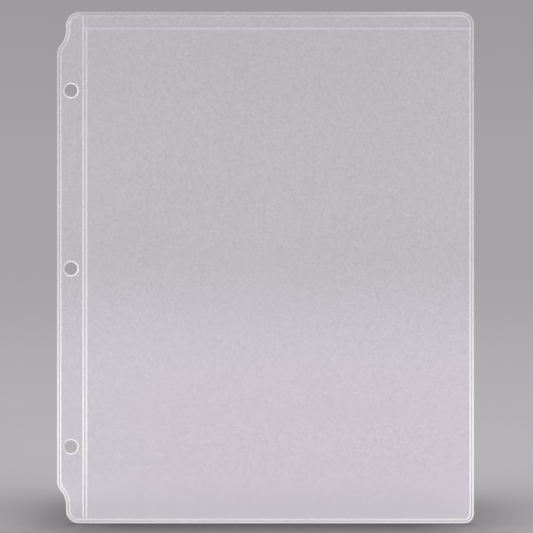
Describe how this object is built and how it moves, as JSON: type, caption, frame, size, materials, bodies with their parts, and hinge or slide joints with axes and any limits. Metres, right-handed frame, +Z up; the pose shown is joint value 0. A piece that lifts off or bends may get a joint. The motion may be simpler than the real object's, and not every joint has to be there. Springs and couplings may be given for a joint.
{
  "type": "sheet protector",
  "caption": "Clear vinyl sheet protector with a waisted ring margin, welded beaded seams and a top-loading pocket that folds at its binding seam and opens at a slot.",
  "frame": {"origin": "centre of the middle ring hole on the flat back face of the leaf", "axes": "+X from the ring margin across the pocket, +Y from the front of the leaf to its back, +Z up the row of ring holes towards the mouth"},
  "size_m": [0.2526, 0.001, 0.31],
  "materials": {
    "clear_film": "clear glossy vinyl film",
    "welded_seam": "glossy welded vinyl",
    "hole_rim": "whitened fused vinyl"
  },
  "bodies": {
    "ring_margin": {"margin_back_film": "clear_film", "margin_front_film": "clear_film", "margin_edge_seam": "welded_seam", "fold_edge_seam": "welded_seam", "binding_seam": "welded_seam", "ring_hole_rim_top": "hole_rim", "ring_hole_rim_middle": "hole_rim", "ring_hole_rim_bottom": "hole_rim"},
    "pocket": {"pocket_edge_seam": "welded_seam", "pocket_back_film": "clear_film", "header_film": "clear_film", "front_film_left_side": "clear_film", "front_film_right_side": "clear_film"},
    "front_flap": {"front_film_middle": "clear_film"}
  },
  "joints": [
    {"name": "page_turn", "type": "hinge", "parent": "ring_margin", "child": "pocket", "pos_m": [0.00845, -0.0005, 0], "axis": [0, 0, 1], "range_deg": [-135, 135], "stiffness_Nm_per_rad": 0.01, "deforming": ["binding_seam", "fold_edge_seam"]},
    {"name": "mouth_open", "type": "hinge", "parent": "pocket", "child": "front_flap", "pos_m": [0.1257, -0.00057, -0.1515], "axis": [1, 0, 0], "range_deg": [0, 4], "stiffness_Nm_per_rad": 0.05, "deforming": ["front_film_left_side", "front_film_right_side"]}
  ]
}
